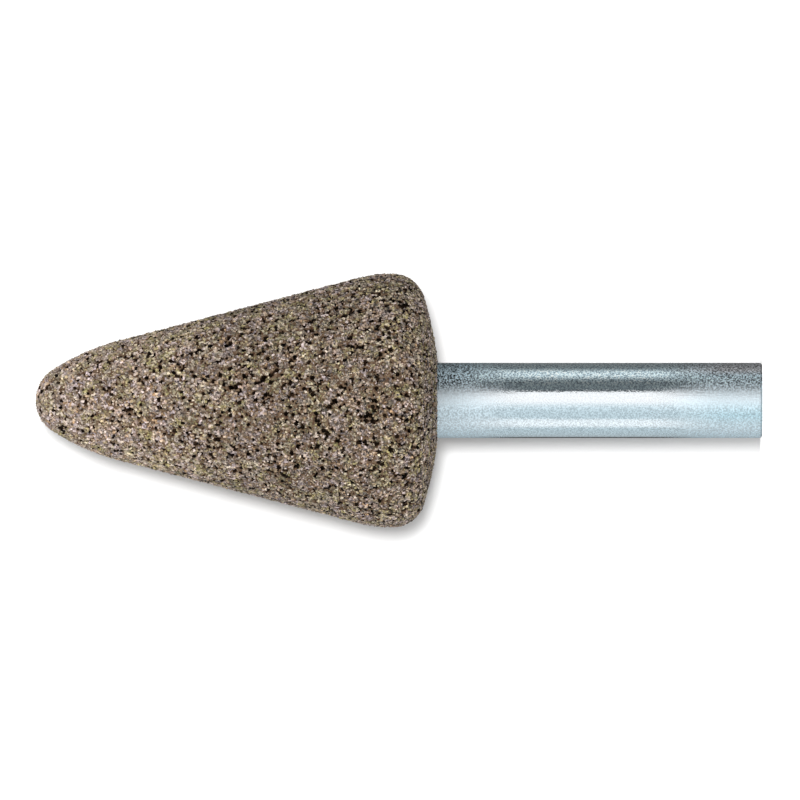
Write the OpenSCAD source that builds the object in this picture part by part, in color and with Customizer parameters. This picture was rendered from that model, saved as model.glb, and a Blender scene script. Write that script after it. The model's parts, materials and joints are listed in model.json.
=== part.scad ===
// Mounted point: a conical abrasive head, moulded round the knurled end of a plain steel shank.
// It stands on the end of the shank. The origin is the centre of that end face,
// and +Z runs along the axis to the tip of the nose. Sizes are in millimetres.

/* [Abrasive head] */
// Largest diameter of the head
head_d = 20.2; // [17:0.1:24]
// Length of the head, from the mouth of its socket to the tip
head_len = 32; // [27:0.5:40]
// Radius of the rounded tip
tip_r = 2.9; // [2:0.1:3.6]
// Half angle that the tip's arc covers, measured from the axis
tip_arc = 57; // [48:1:64]
// Radius of the flatter arc that carries the tip into the straight flank
nose_r = 18; // [10:0.5:26]
// Radius that eases the flank into the largest diameter
shoulder_r = 11; // [6:0.5:14]
// Radius of the corner between the largest diameter and the back
corner_r = 2.6; // [1.6:0.1:4]
// Radius of the domed back face
back_r = 28; // [18:0.5:50]

/* [Shank] */
// Diameter of the shank
shank_d = 6; // [3:0.5:8]
// Length of shank that stands out of the head
shank_len = 25.9; // [20:0.1:45]
// Edge break round the free end of the shank
end_break = 0.15; // [0.05:0.05:0.6]

/* [Anchor inside the head] */
// Length of shank that the head is moulded round
anchor_len = 18; // [12:0.5:21]
// Length of the cone that carries the shank up to the knurl's crests, from the mouth of the head
knurl_lead = 0.5; // [0.3:0.1:2]
// Height by which rolling lifts the knurl's crests above the plain shank
knurl_rise = 0.2; // [0.16:0.02:0.3]
// Depth of a knurl groove below the crests
knurl_depth = 0.4; // [0.2:0.05:0.45]
// Pitch of the knurl round its crests
knurl_pitch = 1; // [1:0.1:1.6]
// Chamfer on the end of the knurl, deep in the head
anchor_chamfer = 0.5; // [0.2:0.1:1]

/* [Hidden] */
$fn = 128;

abrasive_colour = "#7b6d5f";
steel_colour = "#b9c4c8";

// Heights along the axis
mouth_z = shank_len;
tip_z = mouth_z + head_len;
anchor_z = mouth_z + anchor_len;
knurl_z = mouth_z + knurl_lead;

shank_r = shank_d / 2;
head_r = head_d / 2;
crest_r = shank_r + knurl_rise;
knurl_count = floor(2 * PI * crest_r / knurl_pitch);

// The outline of the head is drawn with the radius along x and the height along y.
// It is a chain of tangent arcs with one straight flank. Each arc has a centre and a span of directions.
function toward(direction) = [cos(direction), sin(direction)];
function direction_of(v) = atan2(v.y, v.x);

// The back dome passes through the mouth of the socket, and the corner's arc touches it from inside.
back_centre = [0, mouth_z + sqrt(back_r ^ 2 - shank_r ^ 2)];
widest_z = back_centre.y - sqrt((back_r - corner_r) ^ 2 - (head_r - corner_r) ^ 2);
corner_centre = [head_r - corner_r, widest_z];
shoulder_centre = [head_r - shoulder_r, widest_z];
back_corner_direction = direction_of(corner_centre - back_centre);

// The nose arc takes over from the tip's arc where the tip has turned through its half angle.
tip_centre = [0, tip_z - tip_r];
axis_direction = 90;
tip_nose_direction = axis_direction - tip_arc;
nose_centre = tip_centre - (nose_r - tip_r) * toward(tip_nose_direction);

// The flank touches the shoulder's arc and the nose's arc, so both have the same normal there.
flank_span = nose_centre - shoulder_centre;
flank_direction = direction_of(flank_span) - acos((shoulder_r - nose_r) / norm(flank_span));

// Centre, radius, first direction and last direction of each arc, from the back of the head to its tip
head_arcs = [
    [back_centre, back_r, -axis_direction, back_corner_direction],
    [corner_centre, corner_r, back_corner_direction, 0],
    [shoulder_centre, shoulder_r, 0, flank_direction],
    [nose_centre, nose_r, flank_direction, tip_nose_direction],
    [tip_centre, tip_r, tip_nose_direction, axis_direction]
];
function arc_point(arc, direction) = arc[0] + arc[1] * toward(direction);
function arc_ends(arc) = [arc_point(arc, arc[2]), arc_point(arc, arc[3])];

// One arc as a slice of its disc. The wedge that cuts the slice out reaches past the rim all along its span.
past_rim = 1.1;
module arc_slice(arc) {
    half_span = (arc[3] - arc[2]) / 2;
    wedge_reach = arc[1] * past_rim / cos(half_span);
    intersection() {
        translate(arc[0]) circle(r = arc[1]);
        polygon([
            arc[0],
            arc[0] + wedge_reach * toward(arc[2]),
            arc[0] + wedge_reach * toward(arc[3])
        ]);
    }
}

module head_outline() {
    intersection() {
        union() {
            polygon([for (arc = head_arcs) each arc_ends(arc)]);
            for (arc = head_arcs) arc_slice(arc);
        }
        square([head_d, tip_z + head_len]);
    }
}

module abrasive_head() {
    color(abrasive_colour)
    difference() {
        rotate_extrude() head_outline();
        shank_solid();
    }
}

// Turned blank of the shank, from the free end to the end of the anchor
module shank_blank() {
    rotate_extrude()
    polygon([
        [0, 0],
        [shank_r - end_break, 0],
        [shank_r, end_break],
        [shank_r, mouth_z],
        [crest_r, knurl_z],
        [crest_r, anchor_z - anchor_chamfer],
        [crest_r - anchor_chamfer, anchor_z],
        [0, anchor_z]
    ]);
}

// One vee groove of the knurl, a square bar on edge.
// It starts half way up the lead cone and runs out past the end of the anchor.
module knurl_groove() {
    groove_z = mouth_z + knurl_lead / 2;
    translate([crest_r, 0, groove_z])
    linear_extrude(anchor_len)
    rotate(45) square(knurl_depth * sqrt(2), center = true);
}

module shank_solid() {
    difference() {
        shank_blank();
        for (i = [0 : knurl_count - 1])
            rotate(i * 360 / knurl_count) knurl_groove();
    }
}

module shank() {
    color(steel_colour) shank_solid();
}

abrasive_head();
shank();
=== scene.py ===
import json
from math import acos, atan, atan2, ceil, cos, log2, pi, radians, sin, sqrt, tan

import bmesh
import bpy
from mathutils import Matrix, Vector


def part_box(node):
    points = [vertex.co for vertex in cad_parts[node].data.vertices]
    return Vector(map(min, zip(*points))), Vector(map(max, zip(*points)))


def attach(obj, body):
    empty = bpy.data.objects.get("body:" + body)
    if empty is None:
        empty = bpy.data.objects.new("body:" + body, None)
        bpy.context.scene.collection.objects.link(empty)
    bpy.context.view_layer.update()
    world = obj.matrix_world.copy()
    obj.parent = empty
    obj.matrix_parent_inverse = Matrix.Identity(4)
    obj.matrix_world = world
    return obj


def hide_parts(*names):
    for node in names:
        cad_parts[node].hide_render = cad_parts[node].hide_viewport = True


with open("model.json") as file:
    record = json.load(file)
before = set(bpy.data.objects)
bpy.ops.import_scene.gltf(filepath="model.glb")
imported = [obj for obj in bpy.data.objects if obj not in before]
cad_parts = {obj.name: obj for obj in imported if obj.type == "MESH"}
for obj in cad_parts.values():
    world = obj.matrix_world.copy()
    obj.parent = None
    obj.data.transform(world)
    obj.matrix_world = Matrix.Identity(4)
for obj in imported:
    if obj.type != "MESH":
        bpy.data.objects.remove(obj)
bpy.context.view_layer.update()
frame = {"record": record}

# Sizes, in metres. What the frame gives is read from it, and the rest are the drawing's own sizes.
MM = 0.001
HEAD_LOW, HEAD_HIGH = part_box("abrasive_head")
SHANK_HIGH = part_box("shank")[1]
SHANK_MOUNT = next(m for m in frame["record"]["mounts"] if m["name"] == "shank")
SHANK_R = SHANK_MOUNT["dims"]["r_mm"] * MM
MOUTH_Z = HEAD_LOW.z
TIP_Z = HEAD_HIGH.z
ANCHOR_Z = SHANK_HIGH.z
HEAD_R = HEAD_HIGH.x
CREST_R = SHANK_HIGH.x

# Outline of the head, from its tip to its back
TIP_R = 2.9 * MM
TIP_ARC = radians(57)
NOSE_R = 18 * MM
SHOULDER_R = 11 * MM
CORNER_R = 2.6 * MM
BACK_R = 28 * MM

# Shank and the knurl on its anchor
END_BREAK = 0.15 * MM
KNURL_LEAD = 0.5 * MM
KNURL_DEPTH = 0.4 * MM
KNURL_PITCH = 1 * MM
GROOVE_RUN_IN = 0.01 * MM
ANCHOR_CHAMFER = 0.5 * MM
SIDES_PER_GROOVE = 12
WELD = 0.001 * MM
CREASE_ANGLE = radians(25)

# Bond: the grid of its mesh and the sides of its smallest rings, its depth below the surface, its unevenness
BOND_GRID = 0.14 * MM
FEWEST_SIDES = 6
BOND_SINK = 0.05 * MM
BOND_RELIEF = 0.08 * MM
BOND_RELIEF_SIZE = 0.3 * MM

# A change is written as the span over which it happens, then its values at both ends of the span.
# Noise and the shades of random cells seldom leave the spans below.
NOISE_SPAN = (0.3, 0.7)
CELL_SPAN = (0.2, 0.8)

# Pores are ragged balls in space, which get smaller towards the tip
PORE_SPACING = 0.54 * MM
PORE_SCATTER = 0.8
PORE_SHIFT = (2.0 * MM, 1.0 * MM, 3.1 * MM)
PORE_R = (*CELL_SPAN, 0.05 * MM, 0.21 * MM)
PORE_RAGGED_SIZE = 0.16 * MM
PORE_RAGGED = (*NOISE_SPAN, 0.7, 1.25)
PORE_SHRINK = (MOUTH_Z + 12 * MM, TIP_Z, 0.95, 0.48)
PORE_DEPTH = 0.22 * MM
PORE_LIP = 0.08 * MM

# Grains are broken blocks, sunk in the bond or seated on the floor of a pore, and dressed to tilted flats
GRAIN_SPACING = 0.165 * MM
GRAINS_PER_M2 = 140e6
GRAIN_R = (0.05 * MM, 0.17 * MM)
GRAIN_BLOCK = (2.3, 1.3, 1.2)
GRAIN_JAG = 0.5 * GRAIN_R[0]
GRAIN_SINK = 0.08 * MM
GRAIN_SINK_IN_PORE = 0.18 * MM
GRAIN_PROUD = 0.02 * MM
GRAIN_TILT = 0.4
GRAIN_CLEARANCE = 0.7
HUE_PATCH_SIZE = 1.2 * MM
HUE_SPREAD = 0.25

# Seeds of the random draws
KIND_SEED, SCATTER_SEED, TILT_SEED, HUE_SEED, SHADE_SEED, TURN_SEED, SIZE_SEED, JAG_SEED = range(13, 21)


# Node trees
def live_socket(sockets, name):
    """The socket of that name that the node's settings leave in use."""
    return next(s for s in sockets if s.name == name and s.enabled)


def add(tree, kind, inputs=None, **settings):
    """Adds a node. inputs maps a socket's name or number to a value or to the socket that feeds it."""
    node = tree.nodes.new(kind)
    for key, value in settings.items():
        setattr(node, key, value)
    for key, value in (inputs or {}).items():
        socket = node.inputs[key] if isinstance(key, int) else live_socket(node.inputs, key)
        if isinstance(value, bpy.types.NodeSocket):
            tree.links.new(value, socket)
        else:
            socket.default_value = value
    return node


def compute(tree, operation, a, b=0.0, c=0.0):
    return add(tree, "ShaderNodeMath", {0: a, 1: b, 2: c}, operation=operation).outputs[0]


def product(tree, first, *others):
    for factor in others:
        first = compute(tree, "MULTIPLY", first, factor)
    return first


def vector(tree, operation, a, b=(0, 0, 0)):
    outputs = add(tree, "ShaderNodeVectorMath", {0: a, 1: b}, operation=operation).outputs
    return outputs["Value" if operation == "DOT_PRODUCT" else "Vector"]


def scaled(tree, a, factor):
    return add(tree, "ShaderNodeVectorMath", {0: a, "Scale": factor}, operation="SCALE").outputs["Vector"]


def axes(tree, place):
    """The X, Y and Z of a place."""
    return add(tree, "ShaderNodeSeparateXYZ", {0: place}).outputs


def remap(tree, value, low, high, to_low=0.0, to_high=1.0, kind="LINEAR"):
    """Turns low to high into to_low to to_high, and stops at both."""
    inputs = {"Value": value, "From Min": low, "From Max": high, "To Min": to_low, "To Max": to_high}
    return add(tree, "ShaderNodeMapRange", inputs, interpolation_type=kind).outputs["Result"]


def noise(tree, where, size, detail=2.0):
    """Noise whose blobs are about as wide as size."""
    inputs = {"Vector": where, "Scale": 1 / size, "Detail": detail}
    return add(tree, "ShaderNodeTexNoise", inputs).outputs["Fac"]


def cells(tree, where, size, scatter=1.0):
    """Cells about as wide as size, each with a random shade and the distance from its centre."""
    inputs = {"Vector": where, "Scale": 1 / size, "Randomness": scatter}
    return add(tree, "ShaderNodeTexVoronoi", inputs).outputs


def chance(tree, low, high, seed):
    """A random number, or a random vector where low is one, for each element."""
    kind = "FLOAT" if isinstance(low, float) else "FLOAT_VECTOR"
    inputs = {"Min": low, "Max": high, "Seed": seed}
    return live_socket(add(tree, "FunctionNodeRandomValue", inputs, data_type=kind).outputs, "Value")


def geometry_tree(name, inputs):
    """A Geometry Nodes tree that takes geometry and the named inputs, each with its kind."""
    tree = bpy.data.node_groups.new(name, "GeometryNodeTree")
    for key, kind in {"Geometry": "Geometry", **inputs}.items():
        tree.interface.new_socket(key, in_out="INPUT", socket_type="NodeSocket" + kind)
    tree.interface.new_socket("Geometry", in_out="OUTPUT", socket_type="NodeSocketGeometry")
    return tree, tree.nodes.new("NodeGroupInput").outputs, tree.nodes.new("NodeGroupOutput").inputs


def run_tree(name, mesh, tree, values):
    """Puts mesh through a Geometry Nodes tree and gives the result as a plain object."""
    piece = bpy.data.objects.new(name, mesh)
    bpy.context.scene.collection.objects.link(piece)
    modifier = piece.modifiers.new(tree.name, "NODES")
    modifier.node_group = tree
    for item in tree.interface.items_tree:
        if item.in_out == "INPUT" and item.name in values:
            modifier[item.identifier] = values[item.name]
    evaluated = piece.evaluated_get(bpy.context.evaluated_depsgraph_get())
    made = bpy.data.meshes.new_from_object(evaluated)
    made.name = name
    piece.modifiers.remove(modifier)
    piece.data = made
    return piece


def passed(tree, kind, geometry, inputs=None, **settings):
    """Passes geometry through one more node."""
    return add(tree, kind, {"Geometry": geometry, **(inputs or {})}, **settings).outputs["Geometry"]


def position(tree):
    return add(tree, "GeometryNodeInputPosition").outputs[0]


def stored(tree, geometry, name, value, kind="FLOAT"):
    inputs = {"Name": name, "Value": value}
    return passed(tree, "GeometryNodeStoreNamedAttribute", geometry, inputs, data_type=kind)


def recalled(tree, name, kind="FLOAT"):
    """A value that was stored on the geometry."""
    node = add(tree, "GeometryNodeInputNamedAttribute", {"Name": name}, data_type=kind)
    return live_socket(node.outputs, "Attribute")


def sampled(tree, geometry, value, index, kind="FLOAT"):
    """The value that one point of another geometry has."""
    inputs = {"Geometry": geometry, "Value": value, "Index": index}
    return live_socket(add(tree, "GeometryNodeSampleIndex", inputs, data_type=kind).outputs, "Value")


def moved(tree, geometry, offset):
    return passed(tree, "GeometryNodeSetPosition", geometry, {"Offset": offset})


def sunk(tree, geometry, normal, depth):
    """Moves geometry in against a normal."""
    return moved(tree, geometry, scaled(tree, normal, compute(tree, "MULTIPLY", depth, -1.0)))


def finished(tree, geometry, material, smooth):
    """Realize Instances, shading and Set Material, which end every tree."""
    geometry = passed(tree, "GeometryNodeRealizeInstances", geometry)
    geometry = passed(tree, "GeometryNodeSetShadeSmooth", geometry, {"Shade Smooth": smooth})
    return passed(tree, "GeometryNodeSetMaterial", geometry, {"Material": material})


# Materials
def new_material(name):
    material = bpy.data.materials.new(name)
    material.use_nodes = True
    tree = material.node_tree
    return material, tree, tree.nodes["Principled BSDF"].inputs


def object_place(tree):
    return add(tree, "ShaderNodeTexCoord").outputs["Object"]


def attribute(tree, name, output="Fac"):
    return add(tree, "ShaderNodeAttribute", attribute_name=name).outputs[output]


def srgb(*channels):
    """A colour written as 0 to 255 per channel, as linear light."""
    shares = [c / 255 for c in channels]
    return [s / 12.92 if s <= 0.04045 else ((s + 0.055) / 1.055) ** 2.4 for s in shares] + [1.0]


def ramp(tree, factor, stops):
    """A colour ramp through (place, colour) stops."""
    node = add(tree, "ShaderNodeValToRGB", {"Fac": factor})
    elements = node.color_ramp.elements
    while len(elements) < len(stops):
        elements.new(1.0)
    for element, (place, colour) in zip(elements, stops):
        element.position = place
        element.color = colour
    return node.outputs["Color"]


def mixed(tree, factor, a, b, blend="MIX"):
    inputs = {"Factor": factor, "A": a, "B": b}
    node = add(tree, "ShaderNodeMix", inputs, data_type="RGBA", blend_type=blend)
    return live_socket(node.outputs, "Result")


def bumped(tree, height, distance):
    return add(tree, "ShaderNodeBump", {"Height": height, "Distance": distance}).outputs["Normal"]


# Grain: the hues that its kinds run through, and how its shade changes within a grain and over the head
WARM_HUES = [
    (0.0, srgb(134, 125, 86)),
    (0.3, srgb(136, 124, 94)),
    (0.5, srgb(140, 123, 101)),
    (0.7, srgb(140, 122, 113)),
    (0.85, srgb(139, 122, 106)),
    (1.0, srgb(149, 123, 94)),
]
COOL_HUES = [
    (0.0, srgb(133, 124, 102)),
    (0.5, srgb(136, 123, 110)),
    (1.0, srgb(134, 123, 124)),
]
PALE_HUES = [
    (0.0, srgb(133, 125, 104)),
    (0.5, srgb(134, 124, 114)),
    (0.8, srgb(134, 123, 123)),
    (1.0, srgb(138, 123, 106)),
]
DARK_HUES = [
    (0.0, srgb(140, 116, 88)),
    (1.0, srgb(148, 104, 76)),
]
FRACTURE_SIZE = 0.135 * MM
FRACTURE_CONTRAST = (MOUTH_Z + 4 * MM, TIP_Z, 3.2, 1.5)
FRACTURE_DARKEST = 0.1
# Painted highlight: grains are made paler near the rims of the pores.
PAINTED_HIGHLIGHT_AT_PORE_RIM = (0.1 * MM, 0.28 * MM, 1.35, 0.97)
SHADE_PATCH_SIZE = 1.6 * MM
SHADE_PATCHES = (*NOISE_SPAN, 0.86, 1.14)
# Painted light: grains are made lighter towards the tip.
PAINTED_LIGHT_TO_TIP = (MOUTH_Z + 14 * MM, MOUTH_Z + 25 * MM, 0.91, 1.36)
ROUGHNESS_SPREAD = 0.12
GRIT_SIZE = 0.07 * MM
GRIT_HEIGHT = 0.012 * MM


def grain_shade(tree, place, fracture, shades):
    """A shade for each grain, broken up by its fractures, with painted highlights at the rims of pores and
    painted light towards the tip.
    """
    height = axes(tree, place)["Z"]
    contrast = remap(tree, height, *FRACTURE_CONTRAST)
    broken = compute(tree, "MULTIPLY_ADD", compute(tree, "SUBTRACT", fracture, 0.5), contrast, 1.0)
    return product(
        tree,
        remap(tree, attribute(tree, "grain_shade"), 0, 1, *shades),
        compute(tree, "MAXIMUM", broken, FRACTURE_DARKEST),
        # Painted highlight at the rims of pores.
        remap(tree, attribute(tree, "clear"), *PAINTED_HIGHLIGHT_AT_PORE_RIM),
        remap(tree, noise(tree, place, SHADE_PATCH_SIZE), *SHADE_PATCHES),
        # Painted light towards the tip.
        remap(tree, height, *PAINTED_LIGHT_TO_TIP, kind="SMOOTHSTEP"),
    )


def grain_material(name, hues, shades, roughness, gloss):
    """Broken abrasive grain, with fine fractures and grit."""
    material, tree, shader = new_material(name)
    place = object_place(tree)
    fracture = cells(tree, place, FRACTURE_SIZE)["Color"]
    hue = ramp(tree, attribute(tree, "grain_hue"), hues)
    shade = grain_shade(tree, place, fracture, shades)
    tree.links.new(mixed(tree, 1.0, hue, shade, "MULTIPLY"), shader["Base Color"])
    rough = remap(tree, fracture, *CELL_SPAN, roughness - ROUGHNESS_SPREAD, roughness + ROUGHNESS_SPREAD)
    tree.links.new(rough, shader["Roughness"])
    shader["Specular IOR Level"].default_value = gloss
    grit = noise(tree, place, GRIT_SIZE)
    tree.links.new(bumped(tree, grit, GRIT_HEIGHT), shader["Normal"])
    return material


# Bond
CLOUD_SIZE = 0.2 * MM
CLOUD_DETAIL = 3.0
CLOUD_HEIGHT = 0.04 * MM
BOND_HUES = list(zip(NOISE_SPAN, (srgb(80, 52, 35), srgb(144, 124, 102))))
BOND_ROUGHNESS = (*NOISE_SPAN, 0.7, 0.9)
BOND_GLOSS = 0.05
# Painted shade: the colour inside the pores.
PORE_PAINTED_SHADE = srgb(12, 5, 2)
PORE_EDGE = 0.04 * MM


def bond_material():
    """Brown bond between the grains, with painted shade inside the pores that makes them nearly black."""
    material, tree, shader = new_material("resin_bond")
    cloud = noise(tree, object_place(tree), CLOUD_SIZE, CLOUD_DETAIL)
    before = attribute(tree, "before_pitting", "Vector")
    pore = remap(tree, pore_distance(tree, before), PORE_EDGE, 0.0)
    # Painted shade inside the pores.
    tree.links.new(mixed(tree, pore, ramp(tree, cloud, BOND_HUES), PORE_PAINTED_SHADE), shader["Base Color"])
    tree.links.new(remap(tree, cloud, *BOND_ROUGHNESS), shader["Roughness"])
    shader["Specular IOR Level"].default_value = BOND_GLOSS
    tree.links.new(bumped(tree, cloud, CLOUD_HEIGHT), shader["Normal"])
    return material


# Steel: flecks of the plating and marks of drawing, bright in the middle and matt at both ends
PLATING_SIZE = 0.13 * MM
PLATING_DETAIL = 1.0
FLECK = (0.35, 0.65, -1.0, 1.0)
MARK_SIZE = 0.12 * MM
MARK_DETAIL = 3.0
MARK_STRETCH = (1, 1, 0.05)
MARK_SHARE = 0.5
BRIGHT_Z = MOUTH_Z * 0.54
MATT_REACH = (MOUTH_Z * 0.15, MOUTH_Z * 0.42)
MATT_ROUGHNESS = (0.11, 0.52)
FLECK_ROUGHNESS = 0.03
MATT_RELIEF = (1.0, 2.5)
RELIEF_HEIGHT = 0.008 * MM

# Steel: speckle across the shank, painted shade on its upper side at the matt ends and beside the head, and
# a painted reflection tint at the free end
UPPER_SPECKLE = (0.6 * MM, 1.4 * MM, 0.08, 0.55)
LOWER_SPECKLE = (-0.2 * MM, -0.7 * MM, 0.0, 0.12)
# Painted shade: darker towards the upper side, where the shank is matt and beside the head.
UPPER_SIDE_PAINTED_SHADE = (-2.5 * MM, 2.8 * MM, 0.05, 0.33)
HEAD_SIDE_PAINTED_SHADE = (MOUTH_Z - 3.5 * MM, MOUTH_Z - 0.6 * MM, 0.0, 0.7)
# Painted reflection tint: bluish and brownish bands across the shank, strongest at its free end.
REFLECTION_TINT_Z = (8 * MM, 3 * MM)
STEEL = srgb(204, 226, 236)
BLUISH = srgb(187, 220, 232)
BROWNISH = srgb(204, 208, 212)
PAINTED_REFLECTION_TINT = [(0.1, STEEL), (0.3, BLUISH), (0.5, STEEL), (0.82, STEEL), (0.9, BROWNISH)]


def steel_colour(tree, side, height, fleck, matt):
    """Flecked steel, darker on its upper side where it is matt and beside the head (painted shade), with
    bands of painted reflection tint at its free end.
    """
    speckle = compute(tree, "ADD", remap(tree, side, *UPPER_SPECKLE), remap(tree, side, *LOWER_SPECKLE))
    shade = compute(tree, "MULTIPLY_ADD", fleck, speckle, 1.0)
    # Painted shade on the upper side at the matt ends and beside the head.
    painted_shade = compute(tree, "ADD", matt, remap(tree, height, *HEAD_SIDE_PAINTED_SHADE))
    shade = compute(tree, "SUBTRACT", shade, product(tree, painted_shade, remap(tree, side, *UPPER_SIDE_PAINTED_SHADE)))
    # Painted reflection tint across the free end.
    across = remap(tree, side, -SHANK_R, SHANK_R)
    steel = mixed(tree, remap(tree, height, *REFLECTION_TINT_Z), STEEL, ramp(tree, across, PAINTED_REFLECTION_TINT))
    return mixed(tree, 1.0, steel, shade, "MULTIPLY")


def steel_material():
    """Bright plated steel."""
    material, tree, shader = new_material("plated_steel")
    place = object_place(tree)
    side, _, height = axes(tree, place)
    plating = noise(tree, place, PLATING_SIZE, PLATING_DETAIL)
    fleck = remap(tree, plating, *FLECK)
    from_middle = compute(tree, "ABSOLUTE", compute(tree, "SUBTRACT", height, BRIGHT_Z))
    matt = remap(tree, from_middle, *MATT_REACH, kind="SMOOTHSTEP")
    tree.links.new(steel_colour(tree, side, height, fleck, matt), shader["Base Color"])
    shader["Metallic"].default_value = 1.0
    rough = remap(tree, matt, 0, 1, *MATT_ROUGHNESS)
    tree.links.new(compute(tree, "MULTIPLY_ADD", fleck, FLECK_ROUGHNESS, rough), shader["Roughness"])
    marks = noise(tree, vector(tree, "MULTIPLY", place, MARK_STRETCH), MARK_SIZE, MARK_DETAIL)
    relief = compute(tree, "ADD", plating, compute(tree, "MULTIPLY", marks, MARK_SHARE))
    relief = product(tree, relief, remap(tree, matt, 0, 1, *MATT_RELIEF))
    tree.links.new(bumped(tree, relief, RELIEF_HEIGHT), shader["Normal"])
    return material


# The head's outline, as (radius, height) pairs, is a chain of tangent arcs with one straight flank
def toward(direction):
    return Vector((cos(direction), sin(direction)))


def head_arcs():
    """Centre, radius, first direction and last direction of each arc, from the mouth to the tip."""
    back = Vector((0, MOUTH_Z + sqrt(BACK_R**2 - SHANK_R**2)))
    widest_z = back.y - sqrt((BACK_R - CORNER_R) ** 2 - (HEAD_R - CORNER_R) ** 2)
    corner = Vector((HEAD_R - CORNER_R, widest_z))
    shoulder = Vector((HEAD_R - SHOULDER_R, widest_z))
    tip = Vector((0, TIP_Z - TIP_R))
    tip_nose = pi / 2 - TIP_ARC
    nose = tip - (NOSE_R - TIP_R) * toward(tip_nose)
    flank = nose - shoulder
    flank_out = atan2(flank.y, flank.x) - acos((SHOULDER_R - NOSE_R) / flank.length)
    mouth_out = atan2(MOUTH_Z - back.y, SHANK_R)
    back_corner = atan2(corner.y - back.y, corner.x - back.x)
    return [
        (back, BACK_R, mouth_out, back_corner),
        (corner, CORNER_R, back_corner, 0.0),
        (shoulder, SHOULDER_R, 0.0, flank_out),
        (nose, NOSE_R, flank_out, tip_nose),
        (tip, TIP_R, tip_nose, pi / 2),
    ]


def head_outline(step):
    """Points about a step apart, from the mouth to the tip."""
    points = []
    for centre, radius, first, last in head_arcs():
        count = max(1, ceil(radius * (last - first) / step))
        arc = [centre + radius * toward(first + (last - first) * i / count) for i in range(count + 1)]
        if points:
            start = points.pop()
            gap = arc[0] - start
            straight = ceil(gap.length / step)
            points += [start + gap * i / straight for i in range(straight)] if straight > 1 else []
        points += arc
    return points


def ring(mesh, radius, z):
    """A ring of vertices about a grid step apart, or one vertex on the axis."""
    if radius < BOND_GRID / 4:
        return [mesh.verts.new((0, 0, z))]
    count = FEWEST_SIDES * 2 ** max(0, round(log2(2 * pi * radius / (FEWEST_SIDES * BOND_GRID))))
    turn = 2 * pi / count
    return [mesh.verts.new((radius * cos(k * turn), radius * sin(k * turn), z)) for k in range(count)]


def stitch(mesh, low, high):
    """Faces between two rings, of which one may have more vertices, or be a single vertex on the axis."""
    i = j = 0
    while i < len(low) or j < len(high):
        a, b = low[i % len(low)], high[j % len(high)]
        next_low, next_high = low[(i + 1) % len(low)], high[(j + 1) % len(high)]
        step_low = len(low) > 1 and (len(high) == 1 or (i + 1) / len(low) <= (j + 1) / len(high))
        step_high = len(high) > 1 and (len(low) == 1 or (j + 1) / len(high) <= (i + 1) / len(low))
        if step_low and step_high:
            mesh.faces.new((a, next_low, next_high, b))
        elif step_low:
            mesh.faces.new((a, next_low, b))
        else:
            mesh.faces.new((a, next_high, b))
        i += step_low or len(low) == 1
        j += step_high or len(high) == 1


def head_blank():
    """The smooth turned head with its socket. Its faces say whether they are on the outside."""
    socket = [(0, ANCHOR_Z), (CREST_R / 2, ANCHOR_Z), (CREST_R, ANCHOR_Z), (CREST_R, MOUTH_Z + KNURL_LEAD)]
    mesh = bmesh.new()
    outer = mesh.faces.layers.float.new("outer")
    rings = [ring(mesh, r, z) for r, z in socket + head_outline(BOND_GRID)]
    for i, (low, high) in enumerate(zip(rings, rings[1:])):
        before = len(mesh.faces)
        stitch(mesh, low, high)
        mesh.faces.ensure_lookup_table()
        for face in mesh.faces[before:]:
            face[outer] = float(i >= len(socket))
    bmesh.ops.recalc_face_normals(mesh, faces=mesh.faces)
    made = bpy.data.meshes.new("head_blank")
    mesh.to_mesh(made)
    mesh.free()
    return made


# Abrasive surface
def pore_distance(tree, where):
    """Distance from the rim of the nearest pore, below zero inside it."""
    shrink = remap(tree, axes(tree, where)["Z"], *PORE_SHRINK, kind="SMOOTHSTEP")
    where = vector(tree, "ADD", where, PORE_SHIFT)
    pores = cells(tree, where, PORE_SPACING, PORE_SCATTER)
    away = compute(tree, "MULTIPLY", pores["Distance"], PORE_SPACING)
    radius = remap(tree, pores["Color"], *PORE_R)
    ragged = remap(tree, noise(tree, where, PORE_RAGGED_SIZE), *PORE_RAGGED)
    return compute(tree, "SUBTRACT", away, product(tree, radius, product(tree, ragged, shrink)))


def pitted_bond_tree():
    """Lowers the blank to the level of the bond, roughens it and sinks the pores into it."""
    tree, given, result = geometry_tree("pitted_bond", {
        "Sink": "Float",
        "Relief": "Float",
        "Depth": "Float",
        "Material": "Material",
    })
    geometry = stored(tree, given["Geometry"], "before_pitting", position(tree), "FLOAT_VECTOR")
    pore = remap(tree, pore_distance(tree, position(tree)), PORE_LIP, 0, kind="SMOOTHSTEP")
    pit = compute(tree, "MULTIPLY", pore, given["Depth"])
    uneven = compute(tree, "MULTIPLY", noise(tree, position(tree), BOND_RELIEF_SIZE), given["Relief"])
    depth = compute(tree, "ADD", compute(tree, "ADD", pit, uneven), given["Sink"])
    depth = compute(tree, "MULTIPLY", depth, recalled(tree, "outer"))
    normal = add(tree, "GeometryNodeInputNormal").outputs[0]
    geometry = sunk(tree, geometry, normal, depth)
    tree.links.new(finished(tree, geometry, given["Material"], True), result["Geometry"])
    return tree


def scattered(tree, given):
    """Points on the outside of the blank that keep their spacing."""
    inputs = {
        "Mesh": given["Geometry"],
        "Selection": compute(tree, "GREATER_THAN", recalled(tree, "outer"), 0.5),
        "Distance Min": given["Spacing"],
        "Density Max": given["Density"],
        "Seed": SCATTER_SEED,
    }
    return add(tree, "GeometryNodeDistributePointsOnFaces", inputs, distribute_method="POISSON").outputs


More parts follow.
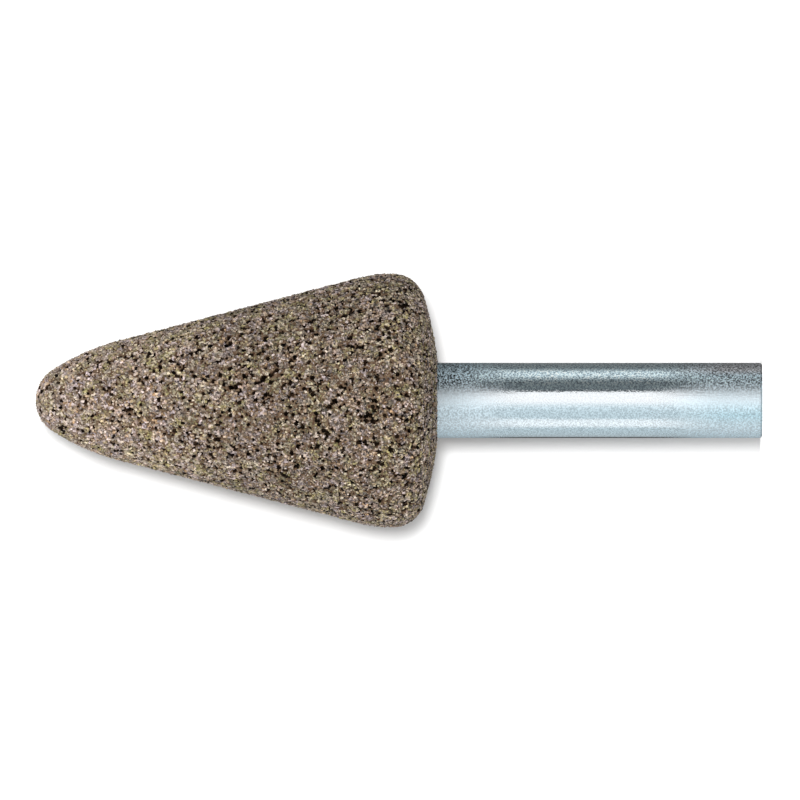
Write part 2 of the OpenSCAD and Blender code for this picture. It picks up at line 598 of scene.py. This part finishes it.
def marked(tree, points, normal, tilt):
    """Stores on each point its seat, the way it faces, how far a pore is, and its grain's hue and shade."""
    lean = scaled(tree, chance(tree, (-1, -1, -1), (1, 1, 1), TILT_SEED), tilt)
    facing = vector(tree, "NORMALIZE", vector(tree, "ADD", normal, lean))
    patches = remap(tree, noise(tree, position(tree), HUE_PATCH_SIZE), *NOISE_SPAN)
    hue = compute(tree, "ADD", patches, chance(tree, -HUE_SPREAD, HUE_SPREAD, HUE_SEED))
    points = stored(tree, points, "seat", position(tree), "FLOAT_VECTOR")
    points = stored(tree, points, "facing", facing, "FLOAT_VECTOR")
    points = stored(tree, points, "clear", pore_distance(tree, position(tree)))
    points = stored(tree, points, "grain_hue", hue)
    return stored(tree, points, "grain_shade", chance(tree, 0.0, 1.0, SHADE_SEED))


def chosen(tree, given, size, in_pore):
    """Picks the grains of one kind that stand clear of the pores, and for some kinds those inside too."""
    kind = chance(tree, 0.0, 1.0, KIND_SEED)
    of_kind = product(
        tree,
        compute(tree, "GREATER_THAN", kind, given["First"]),
        compute(tree, "LESS_THAN", kind, given["Last"]),
    )
    room = compute(tree, "MULTIPLY", size, GRAIN_CLEARANCE)
    outside = compute(tree, "GREATER_THAN", recalled(tree, "clear"), room)
    inside = compute(tree, "MULTIPLY", in_pore, given["In Pores"])
    return compute(tree, "MAXIMUM", product(tree, of_kind, outside), inside)


def dressed(tree, grains, proud):
    """Cuts the grains off along a plane through the seat of each one, as dressing the wheel does."""
    facing = recalled(tree, "facing", "FLOAT_VECTOR")
    seat = recalled(tree, "seat", "FLOAT_VECTOR")
    rise = vector(tree, "DOT_PRODUCT", vector(tree, "SUBTRACT", position(tree), seat), facing)
    over = compute(tree, "MAXIMUM", compute(tree, "SUBTRACT", rise, proud), 0.0)
    grains = sunk(tree, grains, facing, over)
    for name in ("seat", "facing"):
        grains = passed(tree, "GeometryNodeRemoveAttribute", grains, {"Name": name})
    return grains


def grain_tree():
    """Scatters broken grains over the blank: jagged blocks, turned at random, sunk in and dressed."""
    tree, given, result = geometry_tree("broken_grains", {
        "Spacing": "Float",
        "Density": "Float",
        "Sink": "Float",
        "Sink In Pore": "Float",
        "Proud": "Float",
        "Tilt": "Float",
        "First": "Float",
        "Last": "Float",
        "In Pores": "Float",
        "Material": "Material",
    })
    spread = scattered(tree, given)
    points = marked(tree, spread["Points"], spread["Normal"], given["Tilt"])
    in_pore = compute(tree, "LESS_THAN", recalled(tree, "clear"), 0.0)
    sink = remap(tree, in_pore, 0, 1, given["Sink"], given["Sink In Pore"])
    size = chance(tree, *GRAIN_R, SIZE_SEED)
    grains = add(tree, "GeometryNodeInstanceOnPoints", {
        "Points": sunk(tree, points, spread["Normal"], sink),
        "Selection": chosen(tree, given, size, in_pore),
        "Instance": add(tree, "GeometryNodeMeshCube", {"Size": GRAIN_BLOCK}).outputs["Mesh"],
        "Rotation": chance(tree, (0, 0, 0), (2 * pi, 2 * pi, 2 * pi), TURN_SEED),
        "Scale": size,
    }).outputs["Instances"]
    grains = passed(tree, "GeometryNodeRealizeInstances", grains)
    grains = moved(tree, grains, chance(tree, (-GRAIN_JAG,) * 3, (GRAIN_JAG,) * 3, JAG_SEED))
    grains = dressed(tree, grains, given["Proud"])
    tree.links.new(finished(tree, grains, given["Material"], False), result["Geometry"])
    return tree


# Kinds of grain. Each runs up to a share of all grains, and its shades are factors on its hues.
GRAIN_KINDS = {
    "tan_grains": {
        "up_to": 0.36, "in_pores": 0.0,
        "finish": {"hues": WARM_HUES, "shades": (0.7, 1.35), "roughness": 0.65, "gloss": 0.4},
    },
    "grey_grains": {
        "up_to": 0.66, "in_pores": 0.0,
        "finish": {"hues": COOL_HUES, "shades": (0.7, 1.65), "roughness": 0.6, "gloss": 0.4},
    },
    "pale_grains": {
        "up_to": 0.93, "in_pores": 0.0,
        "finish": {"hues": PALE_HUES, "shades": (1.15, 2.15), "roughness": 0.4, "gloss": 0.4},
    },
    # Dark grains are partly real dark grain; those seated in the pores are black as painted shade of the
    # pores.
    "dark_grains": {
        "up_to": 1.0, "in_pores": 1.0,
        "finish": {"hues": DARK_HUES, "shades": (0.0, 0.06), "roughness": 0.7, "gloss": 0.04},
    },
}


def make_bond(blank):
    return run_tree("abrasive_bond", blank, pitted_bond_tree(), {
        "Sink": BOND_SINK,
        "Relief": BOND_RELIEF,
        "Depth": PORE_DEPTH,
        "Material": bond_material(),
    })


def make_grains(blank):
    """One piece for each kind of grain, all from the same scatter of points."""
    tree = grain_tree()
    first = 0.0
    pieces = []
    for name, kind in GRAIN_KINDS.items():
        pieces.append(run_tree(name, blank, tree, {
            "Spacing": GRAIN_SPACING,
            "Density": GRAINS_PER_M2,
            "Sink": GRAIN_SINK,
            "Sink In Pore": GRAIN_SINK_IN_PORE,
            "Proud": GRAIN_PROUD,
            "Tilt": GRAIN_TILT,
            "First": first,
            "Last": kind["up_to"],
            "In Pores": kind["in_pores"],
            "Material": grain_material(name, **kind["finish"]),
        }))
        first = kind["up_to"]
    return pieces


def make_head():
    blank = head_blank()
    bond = make_bond(blank)
    pieces = [bond] + make_grains(blank)
    for piece in pieces:
        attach(piece, "root")
    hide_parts("abrasive_head")
    return pieces


# Shank
def shank_outline():
    """(radius, height, knurled) rows from the centre of the free end to the end of the anchor."""
    groove_z = MOUTH_Z + KNURL_LEAD / 2
    groove_r = (SHANK_R + CREST_R) / 2
    return [
        (0, 0, 0),
        (SHANK_R - END_BREAK, 0, 0),
        (SHANK_R, END_BREAK, 0),
        (SHANK_R, MOUTH_Z, 0),
        (groove_r, groove_z, 0),
        (groove_r, groove_z + GROOVE_RUN_IN, 1),
        (CREST_R, MOUTH_Z + KNURL_LEAD, 1),
        (CREST_R, ANCHOR_Z - ANCHOR_CHAMFER, 1),
        (CREST_R - ANCHOR_CHAMFER, ANCHOR_Z, 1),
        (0, ANCHOR_Z, 0),
    ]


def groove_floor(tree, given, turn, knurled):
    """Radius of the knurl's surface: the crests, less the vee grooves that are pressed into them."""
    half_pitch = compute(tree, "MULTIPLY", compute(tree, "DIVIDE", 2 * pi, given["Grooves"]), 0.5)
    off_groove = compute(tree, "MULTIPLY", compute(tree, "PINGPONG", turn, half_pitch), CREST_R)
    vee = compute(tree, "MAXIMUM", compute(tree, "SUBTRACT", given["Depth"], off_groove), 0.0)
    return compute(tree, "SUBTRACT", CREST_R, compute(tree, "MULTIPLY", vee, knurled))


def creased(tree, geometry):
    """Keeps the edges sharp where the surface turns a corner."""
    bend = add(tree, "GeometryNodeInputMeshEdgeAngle").outputs["Unsigned Angle"]
    sharp = {"Selection": compute(tree, "GREATER_THAN", bend, CREASE_ANGLE), "Shade Smooth": False}
    return passed(tree, "GeometryNodeSetShadeSmooth", geometry, sharp, domain="EDGE")


def turned_shank_tree():
    """Turns the outline's rows about the axis, with the vee grooves of the knurl pressed into the anchor."""
    tree, given, result = geometry_tree("turned_shank", {
        "Sides": "Int",
        "Grooves": "Int",
        "Depth": "Float",
        "Material": "Material",
    })
    outline = given["Geometry"]
    rows = add(tree, "GeometryNodeAttributeDomainSize", {"Geometry": outline}).outputs["Point Count"]
    last_row = compute(tree, "SUBTRACT", rows, 1)
    sheet = add(tree, "GeometryNodeMeshGrid", {
        "Size X": 2 * pi,
        "Size Y": last_row,
        "Vertices X": compute(tree, "ADD", given["Sides"], 1),
        "Vertices Y": rows,
    }).outputs["Mesh"]
    turn, along, _ = axes(tree, position(tree))
    row = compute(tree, "ROUND", compute(tree, "MULTIPLY_ADD", last_row, 0.5, along))
    point = sampled(tree, outline, position(tree), row, "FLOAT_VECTOR")
    radius, _, height = axes(tree, point)
    knurled = sampled(tree, outline, recalled(tree, "knurled"), row)
    radius = compute(tree, "MINIMUM", radius, groove_floor(tree, given, turn, knurled))
    place = add(tree, "ShaderNodeCombineXYZ", {
        "X": compute(tree, "MULTIPLY", radius, compute(tree, "COSINE", turn)),
        "Y": compute(tree, "MULTIPLY", radius, compute(tree, "SINE", turn)),
        "Z": height,
    }).outputs[0]
    turned = passed(tree, "GeometryNodeSetPosition", sheet, {"Position": place})
    turned = passed(tree, "GeometryNodeMergeByDistance", turned, {"Distance": WELD})
    turned = creased(tree, turned)
    tree.links.new(finished(tree, turned, given["Material"], True), result["Geometry"])
    return tree


def make_shank():
    rows = shank_outline()
    outline = bpy.data.meshes.new("shank_outline")
    outline.from_pydata([(r, 0, z) for r, z, _ in rows], [(i, i + 1) for i in range(len(rows) - 1)], [])
    marks = outline.attributes.new("knurled", "FLOAT", "POINT")
    marks.data.foreach_set("value", [knurled for _, _, knurled in rows])
    grooves = int(2 * pi * CREST_R / KNURL_PITCH)
    shank = run_tree("steel_shank", outline, turned_shank_tree(), {
        "Sides": grooves * SIDES_PER_GROOVE,
        "Grooves": grooves,
        "Depth": KNURL_DEPTH,
        "Material": steel_material(),
    })
    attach(shank, "root")
    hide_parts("shank")
    return shank


# Stage
CARD_WHITE = (0.9, 0.9, 0.9, 1)
FLOOR_REACH = 2.0
BOARD_HALF = 0.12
BOARD_GAP = 0.3 * MM


def white_card(name, see_through_back=False):
    """Matt white card. The back of a backdrop lets the camera through."""
    material, tree, shader = new_material(name)
    shader["Base Color"].default_value = CARD_WHITE
    shader["Roughness"].default_value = 1.0
    shader["Specular IOR Level"].default_value = 0.0
    if see_through_back:
        back = add(tree, "ShaderNodeNewGeometry").outputs["Backfacing"]
        tree.links.new(compute(tree, "SUBTRACT", 1.0, back), shader["Alpha"])
    return material


def stage_mesh(name, corners, faces, material):
    mesh = bpy.data.meshes.new(name)
    mesh.from_pydata(corners, [], faces)
    mesh.materials.append(material)
    piece = bpy.data.objects.new(name, mesh)
    bpy.context.scene.collection.objects.link(piece)
    return piece


def floor_and_backdrop():
    """A wide floor under the shank's end, and a board close behind the head that takes its soft shadow."""
    signs = [(-1, -1), (1, -1), (1, 1), (-1, 1)]
    behind = HEAD_R + BOARD_GAP
    on_floor = [(x * FLOOR_REACH, y * FLOOR_REACH, 0) for x, y in signs]
    on_board = [(x * BOARD_HALF, behind, (1 + y) * BOARD_HALF) for x, y in signs]
    floor = stage_mesh("floor", on_floor, [(0, 1, 2, 3)], white_card("white_floor"))
    board = stage_mesh("backdrop", on_board, [(0, 1, 2, 3)], white_card("white_backdrop", True))
    board.visible_shadow = False
    for card in (floor, board):
        card.visible_glossy = False
        card.visible_diffuse = False
    return floor, board


# Light tent: the brightness of its strips, by the angle in degrees from the front towards +X
TENT_STRIPS = [
    (-180, 0.04), (-155, 0.04), (-148, 0.5), (-125, 0.66), (-92, 0.72), (-84, 1.3), (-62, 1.3),
    (-57, 0.8), (-32, 0.84), (-20, 1.0), (-10, 1.3), (-3, 1.55), (26, 1.55), (27, 0.05), (34, 0.2),
    (58, 0.19), (67, 0.35), (75, 0.66), (82, 0.92), (94, 0.92), (101, 0.62), (108, 0.36), (116, 0.22),
    (150, 0.2), (180, 0.25),
]
TENT_PEAK = 2.0
TENT_SIDES = 96
TENT_R = 0.06
TENT_Z = (-0.2, 0.3)
WARM_FROM = 0.9
WARM_OVER = 0.6
WARM_CUT = (0.0, 0.17, 0.22)


def strip_colour(glow):
    """The brighter a strip glows, the warmer it is: less green, and least blue."""
    warm = min(max((glow - WARM_FROM) / WARM_OVER, 0.0), 1.0)
    return [glow / TENT_PEAK * (1 - cut * warm) for cut in WARM_CUT] + [1.0]


def tent_material():
    """Strips that glow by their angle round the axis."""
    material = bpy.data.materials.new("tent_strips")
    material.use_nodes = True
    tree = material.node_tree
    tree.nodes.clear()
    x, y, _ = axes(tree, object_place(tree))
    angle = compute(tree, "ARCTAN2", x, compute(tree, "MULTIPLY", y, -1.0))
    stops = [((degrees + 180) / 360, strip_colour(glow)) for degrees, glow in TENT_STRIPS]
    colour = ramp(tree, remap(tree, angle, -pi, pi), stops)
    surface = add(tree, "ShaderNodeEmission", {"Color": colour, "Strength": TENT_PEAK}).outputs[0]
    add(tree, "ShaderNodeOutputMaterial", {"Surface": surface})
    return material


def light_tent():
    """A drum of light and dark strips round the part, which only shiny surfaces see."""
    turn = 2 * pi / TENT_SIDES
    round_axis = [(TENT_R * cos(k * turn), TENT_R * sin(k * turn)) for k in range(TENT_SIDES)]
    corners = [(x, y, z) for z in TENT_Z for x, y in round_axis]
    pairs = [(k, (k + 1) % TENT_SIDES) for k in range(TENT_SIDES)]
    faces = [(k, after, TENT_SIDES + after, TENT_SIDES + k) for k, after in pairs]
    tent = stage_mesh("light_tent", corners, faces, tent_material())
    for ray in ("camera", "diffuse", "shadow", "transmission"):
        setattr(tent, "visible_" + ray, False)


# Camera and lamps
FRAME_WIDTH = 63.81 * MM
FRAME_MIDDLE_X = 0.03 * MM
FRAME_MIDDLE_Z = 28.87 * MM
LENS_MM = 1200
CLIP = (0.01, 100)
ROOM_LIGHT = 0.62
LAMP_AIM = Vector((0, 0, 30 * MM))
KEY_PLACE = (-0.01, -0.11, 0.055)
KEY_SIZE = 0.05
FLOOR_SUN_PLACE = (0.0, -0.8, 0.8)
BOARD_SUN_PLACE = (0.08, -1.0, 0.06)


def lens_view():
    """Camera at the photograph's angle: the axis level across the frame, with the tip to the left."""
    data = bpy.data.cameras.new("camera")
    data.lens = LENS_MM
    data.clip_start, data.clip_end = CLIP
    distance = FRAME_WIDTH / 2 / tan(atan(data.sensor_width / 2 / data.lens))
    camera = bpy.data.objects.new("camera", data)
    camera.matrix_world = Matrix((
        (0, 1, 0, FRAME_MIDDLE_X),
        (0, 0, -1, -distance),
        (-1, 0, 0, FRAME_MIDDLE_Z),
        (0, 0, 0, 1),
    ))
    bpy.context.scene.collection.objects.link(camera)
    bpy.context.scene.camera = camera


def white_room():
    """White to the camera and in reflections, and a soft even light on everything else."""
    world = bpy.data.worlds.new("white_room")
    world.use_nodes = True
    bpy.context.scene.world = world
    tree = world.node_tree
    path = add(tree, "ShaderNodeLightPath").outputs
    seen = compute(tree, "MAXIMUM", path["Is Camera Ray"], path["Is Transmission Ray"])
    seen = compute(tree, "MAXIMUM", seen, path["Is Glossy Ray"])
    background = tree.nodes["Background"].inputs
    tree.links.new(remap(tree, seen, 0, 1, ROOM_LIGHT, 1.0), background["Strength"])
    background["Color"].default_value = (1, 1, 1, 1)


def lamp(name, kind, place, lit, **settings):
    """A lamp at a place, aimed at the head, that lights only the objects given."""
    data = bpy.data.lights.new(name, kind)
    for key, value in settings.items():
        setattr(data, key, value)
    made = bpy.data.objects.new(name, data)
    turn = (LAMP_AIM - Vector(place)).to_track_quat("-Z", "Y")
    made.matrix_world = Matrix.Translation(place) @ turn.to_matrix().to_4x4()
    made.visible_camera = False
    made.visible_glossy = kind == "AREA"
    bpy.context.scene.collection.objects.link(made)
    receivers = bpy.data.collections.new(name + "_lights")
    for piece in lit:
        receivers.objects.link(piece)
    made.light_linking.receiver_collection = receivers


object_pieces = make_head() + [make_shank()]
lens_view()
white_room()
light_tent()
floor, board = floor_and_backdrop()
lamp("key", "AREA", KEY_PLACE, object_pieces, energy=0.05, shape="RECTANGLE", size=KEY_SIZE, size_y=KEY_SIZE)
lamp("floor_shadow", "SUN", FLOOR_SUN_PLACE, [floor], energy=4.0, angle=radians(20))
lamp("board_shadow", "SUN", BOARD_SUN_PLACE, [board], energy=3.1, angle=radians(8))

bpy.context.scene.view_settings.view_transform = "Standard"
